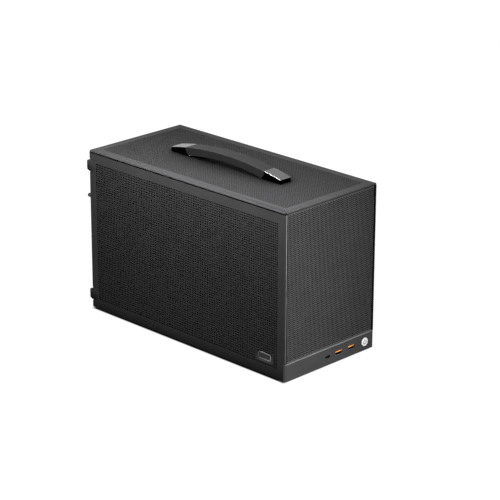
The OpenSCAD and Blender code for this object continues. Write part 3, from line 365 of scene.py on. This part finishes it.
def paint_edge_light_and_shade():
    """Painted shadow in the seams over the removable sheets, painted highlights on the side panels' front
    edges and the bar's top edge, painted shade inside the ports, and the badge's lighter rim and painted
    shade towards its rear.
    """
    side, mesh, bar = (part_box(node)[1].z for node in ("left_panel", "front_mesh", "front_bar"))
    # Painted shadow: dark bands along the upper edges of the side panels and the front mesh, where the seams
    # lie in shade.
    band("side_coat", Z, "GREATER_THAN", side - SIDE_SEAM_SHADE, SHADE_BLACK)
    # Painted highlight on the side panels' front edges. It is dimmed towards the bottom and black inward of
    # its outer width, as painted shade.
    fade("edge_painted_light", Z, FRONT_HIGHLIGHT_LOW, FRONT_HIGHLIGHT_HIGH, FRONT_HIGHLIGHT_LEAST)
    band("edge_painted_light", X, "LESS_THAN", cad_box[1].x - FRONT_HIGHLIGHT_WIDTH, SHADE_BLACK)
    band("mesh_coat", Z, "GREATER_THAN", mesh - MESH_SEAM_SHADE, SHADE_BLACK)
    # Painted highlight: a lighter band along the front bar's top edge.
    band("bar_plastic", Z, "GREATER_THAN", bar - BAR_HIGHLIGHT_BAND, BAR_HIGHLIGHT_GREY)
    # Painted shade in the USB-A ports: the lower part of the orange tongue and the insides of the shells are
    # near black.
    low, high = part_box("usb_a_insert_1")
    band("port_orange", Z, "LESS_THAN", (low.z + high.z) / 2 + TONGUE_ABOVE_MIDDLE, SHADE_BLACK)
    band("port_shell", Y, "LESS_THAN", -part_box("usb_a_shell_1")[0].y - PORT_RIM_DEPTH, SHADE_BLACK)
    rim("badge_metal", "side_badge", BADGE_RIM, BADGE_RIM_GREY)
    # Painted shade: the badge darkens towards its rear.
    low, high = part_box("side_badge")
    fade("badge_metal", Y, high.y, low.y, BADGE_REAR_SHADE)


mark_button()
paint_edge_light_and_shade()


# Materials of the CAD nodes

# Nodes that don't take the material of their slot in the record.
SPECIAL = {"side_badge": "badge_metal", "usb_c_port": "port_black", "usb_a_shell_1": "port_shell",
           "usb_a_shell_2": "port_shell"}


def dress_nodes():
    slots = {s["node"]: s["material_slot"] for s in frame["record"]["subparts"]}
    for name, piece in nodes.items():
        piece.data.materials.clear()
        piece.data.materials.append(MATERIALS[SPECIAL.get(name, slots[name])])


dress_nodes()


# Fine perforation

# A sheet's flat has two planes along one axis, and u and v are the other two axes. An area and each rectangle
# of keep_off are a low and a high corner in u and v. HOLE_SHARE is a share of the pitch, and PIT_DEPTH one of
# the sheet's thickness.
PITCH = 3.125 * MM
HOLE_SHARE = 0.62
PIT_DEPTH = 0.46
BORDER = 13 * MM
SHEET = 1.5 * MM
BADGE_MARGIN = 2.5 * MM
HANDLE_HOLE_FROM_MIDDLE = 85 * MM
HANDLE_HOLE_MARGIN = 4.5 * MM

FRONT_PITCH_ACROSS, FRONT_PITCH_UP = 2.39 * MM, 2.625 * MM
FRONT_HOLE_RADIUS = 1.12 * MM
FRONT_BORDER = 1.6 * MM
FRONT_SHEET = 1.0 * MM

TOP_FACE = 0.02 * MM
FRONT_FACE = 0.25 * MM
# Width of the painted shadow along both sides of the front mesh.
FRONT_SEAM_SHADE = 1.1 * MM
# Material slots of the fine sheets: PAINTED_SHADE_SLOT is painted shade and PAINTED_HIGHLIGHT_SLOT is a
# painted highlight.
PAINTED_SHADE_SLOT, PAINTED_HIGHLIGHT_SLOT = 1, 2

TOLERANCE = 2e-5
WELD = 1e-6
SLACK = 1e-7
KEYS_PER_METRE = 1e7
SHARP_ANGLE = math.radians(35)


def is_clear(centre, half, keep_off):
    """True where a cell stays off every rectangle of keep_off."""
    u, v = centre
    return all(u + half <= low[0] or u - half >= high[0] or v + half <= low[1] or v - half >= high[1]
               for low, high in keep_off)


def square_cells(area, keep_off):
    """Four-sided cells with a square hole, as (corners, hole corners)."""
    low, high = area
    columns, rows = (round((high[i] - low[i]) / PITCH) for i in (0, 1))
    pitch_u, pitch_v = (high[0] - low[0]) / columns, (high[1] - low[1]) / rows
    half_cell = max(pitch_u, pitch_v) / 2 - SLACK
    half_hole = HOLE_SHARE * PITCH / 2
    signs = ((-1, -1), (1, -1), (1, 1), (-1, 1))
    cells = []
    for column in range(columns):
        for row in range(rows):
            u, v = low[0] + (column + 0.5) * pitch_u, low[1] + (row + 0.5) * pitch_v
            if is_clear((u, v), half_cell, keep_off):
                corners = [(u + a * pitch_u / 2, v + b * pitch_v / 2) for a, b in signs]
                hole = [(u + a * half_hole, v + b * half_hole) for a, b in signs]
                cells.append((corners, hole))
    return cells


def staggered_cells(area):
    """Cells with a six-sided hole, as (corners, hole corners), every other column half a pitch up."""
    low, high = area
    columns = round((high[0] - low[0]) / FRONT_PITCH_ACROSS)
    rows = round((high[1] - low[1]) / FRONT_PITCH_UP - 0.5)
    pitch_u, pitch_v = (high[0] - low[0]) / columns, (high[1] - low[1]) / (rows + 0.5)
    half_u, half_v = pitch_u / 2, pitch_v / 2
    turns = [math.radians(angle) for angle in (240, 300, 0, 60, 120, 180)]
    cells = []
    for column in range(columns):
        for row in range(rows):
            u, v = low[0] + (column + 0.5) * pitch_u, low[1] + (row + 0.5 + column % 2 / 2) * pitch_v
            corners = [(u - half_u, v - half_v), (u + half_u, v - half_v), (u + half_u, v),
                       (u + half_u, v + half_v), (u - half_u, v + half_v), (u - half_u, v)]
            hole = [(u + FRONT_HOLE_RADIUS * math.cos(turn), v + FRONT_HOLE_RADIUS * math.sin(turn))
                    for turn in turns]
            cells.append((corners, hole))
    return cells


def other_axes(axis):
    return [i for i in (X, Y, Z) if i != axis]


def open_flat(bm, axis, planes, area, keep_off):
    """Deletes the flat's faces, and the walls of the coarse holes in the area that keep_off doesn't cover."""
    u_axis, v_axis = other_axes(axis)

    def on_flat(face):
        return any(all(abs(v.co[axis] - plane) < TOLERANCE for v in face.verts) for plane in planes)

    def inside(face, low, high):
        return all(low[0] - TOLERANCE < v.co[u_axis] < high[0] + TOLERANCE
                   and low[1] - TOLERANCE < v.co[v_axis] < high[1] + TOLERANCE for v in face.verts)

    def in_hole(face):
        least, most = min(planes) - TOLERANCE, max(planes) + TOLERANCE
        return (all(least < v.co[axis] < most for v in face.verts) and inside(face, *area)
                and not any(inside(face, *rectangle) for rectangle in keep_off))

    gone = [face for face in bm.faces if on_flat(face) or in_hole(face)]
    bmesh.ops.delete(bm, geom=gone, context="FACES")


def set_cells(bm, axis, planes, cells):
    """Sets the cells into both planes. Each hole becomes a pit that stops short of the middle, with its faces
    in the painted shade material, in place of an opening into the dark case.
    """
    u_axis, v_axis = other_axes(axis)
    known = {}

    def new_vertex(point, level):
        co = [0, 0, 0]
        co[axis], co[u_axis], co[v_axis] = level, point[0], point[1]
        return bm.verts.new(co)

    def shared_vertex(point, plane):
        key = (round(point[0] * KEYS_PER_METRE), round(point[1] * KEYS_PER_METRE), plane)
        if key not in known:
            known[key] = new_vertex(point, plane)
        return known[key]

    for corners, hole in cells:
        sides = len(corners)
        middle = [sum(point[i] for point in hole) / sides for i in (0, 1)]
        for plane, opposite in (planes, planes[::-1]):
            outer = [shared_vertex(point, plane) for point in corners]
            inner = [shared_vertex(point, plane) for point in hole]
            bottom = new_vertex(middle, plane + (opposite - plane) * PIT_DEPTH)
            for i in range(sides):
                j = (i + 1) % sides
                bm.faces.new((outer[i], outer[j], inner[j], inner[i]))
                bm.faces.new((inner[i], inner[j], bottom)).material_index = PAINTED_SHADE_SLOT


def close_flat(bm, axis, planes):
    """Fills both planes between the cells and the rest of the sheet."""
    normal = [float(i == axis) for i in (X, Y, Z)]
    for plane in planes:
        edges = [edge for edge in bm.edges
                 if edge.is_boundary and all(abs(v.co[axis] - plane) < TOLERANCE for v in edge.verts)]
        bmesh.ops.triangle_fill(bm, use_beauty=True, edges=edges, normal=normal)


def paint_faces(mesh, paint):
    """Gives each face the slot that paint(low, high) returns for its box, or keeps its own slot for None."""
    for face in mesh.polygons:
        points = [mesh.vertices[i].co for i in face.vertices]
        low, high = ([limit(p[i] for p in points) for i in (X, Y, Z)] for limit in (min, max))
        slot = paint(low, high)
        if slot is not None:
            face.material_index = slot


def fine_sheet(node, axis, planes, area, cells, keep_off=(), coat="panel_coat", paint=None):
    """Replaces a node by its own sheet with fine cells in the flat instead of the coarse holes."""
    bm = bmesh.new()
    bm.from_mesh(nodes[node].data)
    bmesh.ops.remove_doubles(bm, verts=bm.verts, dist=WELD)
    open_flat(bm, axis, planes, area, keep_off)
    set_cells(bm, axis, planes, cells)
    close_flat(bm, axis, planes)
    bmesh.ops.recalc_face_normals(bm, faces=bm.faces)
    mesh = bpy.data.meshes.new(node + "_fine")
    bm.to_mesh(mesh)
    bm.free()
    piece = bpy.data.objects.new(node + "_fine", mesh)
    scene.collection.objects.link(piece)
    for name in (coat, "painted_shade_black", "edge_painted_light"):
        mesh.materials.append(MATERIALS[name])
    if paint:
        paint_faces(mesh, paint)
    mesh.shade_smooth()
    mesh.set_sharp_from_angle(angle=SHARP_ANGLE)
    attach(piece, nodes[node]["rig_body"])
    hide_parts(node)


def fine_side(node, outer, inner, keep_off):
    """Fine sheet of a side panel. Its upper face is painted black, as painted shadow in the seam under the
    top panel, and its front edge face has a painted highlight.
    """
    low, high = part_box(node)
    area = ([low.y + BORDER, low.z + BORDER], [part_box("top_panel")[1].y - BORDER, high.z - BORDER])

    def paint(least, most):
        if least[Z] > high.z - TOP_FACE:
            return PAINTED_SHADE_SLOT
        return PAINTED_HIGHLIGHT_SLOT if most[Y] < low.y + FRONT_FACE else None

    fine_sheet(node, X, (outer, inner), area, square_cells(area, keep_off), keep_off, "side_coat", paint)


def fine_sides():
    left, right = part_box("left_panel")[0].x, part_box("right_panel")[1].x
    low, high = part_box("side_badge")
    badge = ([low[i] - BADGE_MARGIN for i in (Y, Z)], [high[i] + BADGE_MARGIN for i in (Y, Z)])
    fine_side("left_panel", left, left + SHEET, [badge])
    fine_side("right_panel", right, right - SHEET, [])


def fine_top():
    low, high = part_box("top_panel")
    area = ([low.x + BORDER, low.y + BORDER], [high.x - BORDER, high.y - BORDER])
    middle = (low.y + high.y) / 2
    holes = [middle - HANDLE_HOLE_FROM_MIDDLE, middle + HANDLE_HOLE_FROM_MIDDLE]
    margin = HANDLE_HOLE_MARGIN
    keep_off = [((-margin, hole - margin), (margin, hole + margin)) for hole in holes]
    fine_sheet("top_panel", Z, (high.z, high.z - SHEET), area, square_cells(area, keep_off), keep_off)


def fine_front():
    """Fine sheet of the front mesh, with a black seam of painted shadow along both sides."""
    low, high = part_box("front_mesh")
    area = ([low.x + FRONT_BORDER, low.z + FRONT_BORDER], [high.x - FRONT_BORDER, high.z - FRONT_BORDER])
    planes = (low.y, low.y + FRONT_SHEET)

    def paint(least, most):
        return PAINTED_SHADE_SLOT if least[X] > high.x - FRONT_SEAM_SHADE or most[X] < low.x + FRONT_SEAM_SHADE else None

    fine_sheet("front_mesh", Y, planes, area, staggered_cells(area), coat="mesh_coat", paint=paint)


fine_sides()
fine_top()
fine_front()


# Floor and world

# Both look white and give little light. The floor's glow fades out under the case, which paints a dark
# contact shadow there, and rises a little far away, so the floor is a little greyer near the case. The places
# of the fade and the rise are shares of half the case's width and depth.
FLOOR_SIDE = 30
FLOOR_ALBEDO = 0.08
FLOOR_ROUGHNESS = 0.9
FLOOR_GLOW, FAR_GLOW = 0.95, 1.02
GLOW_WIDTH_INSET, GLOW_DEPTH_INSET = 1.5 * MM, 2.4 * MM
GLOW_START, GLOW_FULL = 0.965, 0.995
RISE_START, RISE_END = 1.2, 2.4
WORLD_LIGHT = 0.03
WHITE = (1, 1, 1, 1)


def seen_directly(tree):
    """1 for rays from the camera, reflections and glass, and 0 for the light that falls on the object."""
    path = add_node(tree, "LightPath").outputs
    seen = maths(tree, "MAXIMUM", path["Is Camera Ray"], path["Is Glossy Ray"])
    return maths(tree, "MAXIMUM", seen, path["Is Transmission Ray"])


def make_floor():
    bpy.ops.mesh.primitive_plane_add(size=FLOOR_SIDE, location=(0, 0, 0))
    floor = bpy.context.object
    floor.name = "studio_floor"
    mat = bpy.data.materials.new("studio_floor")
    mat.use_nodes = True
    tree = mat.node_tree
    shader = tree.nodes["Principled BSDF"]
    albedo = (FLOOR_ALBEDO, FLOOR_ALBEDO, FLOOR_ALBEDO, 1)
    set_inputs(tree, shader, {"Base Color": albedo, "Roughness": FLOOR_ROUGHNESS, "Specular IOR Level": 0})

    half_width, half_depth = cad_box[1].x - GLOW_WIDTH_INSET, cad_box[1].y - GLOW_DEPTH_INSET
    axes = own_axes(tree)
    across = maths(tree, "ABSOLUTE", maths(tree, "DIVIDE", axes["X"], half_width))
    along = maths(tree, "ABSOLUTE", maths(tree, "DIVIDE", axes["Y"], half_depth))
    outside = maths(tree, "MAXIMUM", across, along)
    # Painted shadow: no glow under the case, and less glow near it than far off.
    near = map_range(tree, outside, GLOW_START, GLOW_FULL, 0, FLOOR_GLOW)
    far = map_range(tree, outside, RISE_START, RISE_END, 0, FAR_GLOW - FLOOR_GLOW)
    strength = maths(tree, "MULTIPLY", seen_directly(tree), maths(tree, "ADD", near, far))
    glow = add_node(tree, "Emission", {"Color": WHITE, "Strength": strength})
    both = add_node(tree, "AddShader", {0: shader.outputs["BSDF"], 1: glow.outputs["Emission"]})
    tree.links.new(both.outputs["Shader"], tree.nodes["Material Output"].inputs["Surface"])
    floor.data.materials.append(mat)


def make_world():
    world = bpy.data.worlds.new("studio")
    scene.world = world
    world.use_nodes = True
    tree = world.node_tree
    strength = map_range(tree, seen_directly(tree), 0, 1, WORLD_LIGHT, 1)
    set_inputs(tree, tree.nodes["Background"], {"Color": WHITE, "Strength": strength})


make_floor()
make_world()


# Lamps

# None stands where the front, the left side or the top would mirror it into the camera.
def area_lamp(name, at, target, size, watts, spread=180):
    """Lamp that looks from one point to another. size is across and up, and spread is in degrees."""
    data = bpy.data.lights.new(name, "AREA")
    data.shape = "RECTANGLE"
    data.size, data.size_y = size
    data.energy = watts
    data.spread = math.radians(spread)
    lamp = bpy.data.objects.new(name, data)
    scene.collection.objects.link(lamp)
    lamp.location = at
    lamp.rotation_mode = "QUATERNION"
    lamp.rotation_quaternion = (Vector(target) - Vector(at)).to_track_quat("-Z", "Y")


area_lamp("left_softbox", at=(-0.2, -0.04, 0.465), target=(-0.083, -0.04, 0.2), size=(0.5, 0.1), watts=2.95,
          spread=120)
area_lamp("overhead_softbox", at=(-0.15, -0.08, 0.85), target=(0, 0, 0.22), size=(0.35, 0.35), watts=0.2)
area_lamp("back_softbox", at=(-0.36, 0.75, 0.95), target=(0, 0, 0.22), size=(0.15, 0.35), watts=1.4)
area_lamp("front_softbox", at=(-0.06, -0.75, 0.48), target=(-0.09, -0.18, 0.11), size=(0.1, 0.4), watts=0.97,
          spread=50)
area_lamp("right_fill", at=(1.1, -0.2, 0.14), target=(0, 0, 0.12), size=(0.5, 0.12), watts=7)
area_lamp("rear_fill", at=(0.2, 1.2, 0.14), target=(0, 0.18, 0.12), size=(0.5, 0.12), watts=7)
